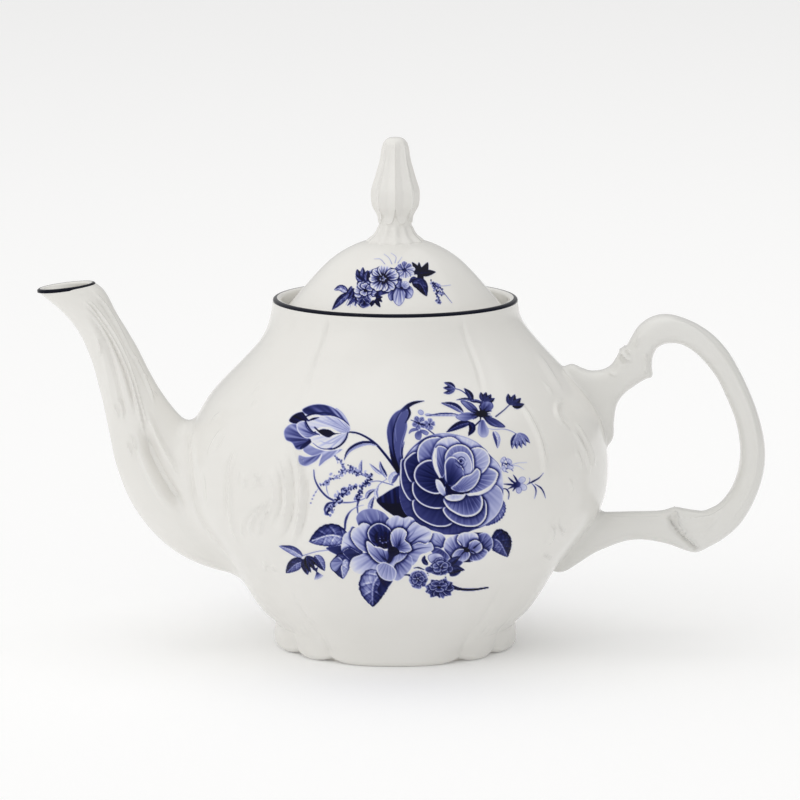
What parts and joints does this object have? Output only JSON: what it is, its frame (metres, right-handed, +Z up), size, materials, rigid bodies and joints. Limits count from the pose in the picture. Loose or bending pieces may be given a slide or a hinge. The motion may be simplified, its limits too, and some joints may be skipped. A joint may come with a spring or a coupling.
{
  "type": "teapot",
  "caption": "Porcelain teapot with a bulbous relief body, swan-neck spout, scrolled handle, lobed foot and a lift-off domed lid with a bud finial.",
  "frame": {"origin": "centre of the overall length and width, on the surface that the foot ring stands on; the body's axis is 2.15 mm towards the spout from it", "axes": "+Z up, +X from the body towards the handle, -X towards the spout, -Y the printed side that faces the viewer"},
  "size_m": [0.2432, 0.1442, 0.1717],
  "materials": {
    "porcelain_glaze": "glossy",
    "foot_glaze": "glossy",
    "cobalt_line": "glossy",
    "cobalt_print": "glossy"
  },
  "bodies": {
    "pot": {"pot_body": "porcelain_glaze", "foot_ring": "foot_glaze", "lid_seat": "porcelain_glaze", "spout": "porcelain_glaze", "handle": "porcelain_glaze", "rim_band": "cobalt_line", "spout_lip_band": "cobalt_line", "print_body_front": "cobalt_print", "print_body_back": "cobalt_print"},
    "lid": {"lid_dome": "porcelain_glaze", "lid_flange": "porcelain_glaze", "lid_knob": "porcelain_glaze", "print_lid_front": "cobalt_print", "print_lid_back": "cobalt_print"}
  },
  "joints": [
    {"name": "lid_lift", "type": "slide", "parent": "pot", "child": "lid", "axis": [0, 0, 1], "range_m": [0, 0.06]}
  ]
}
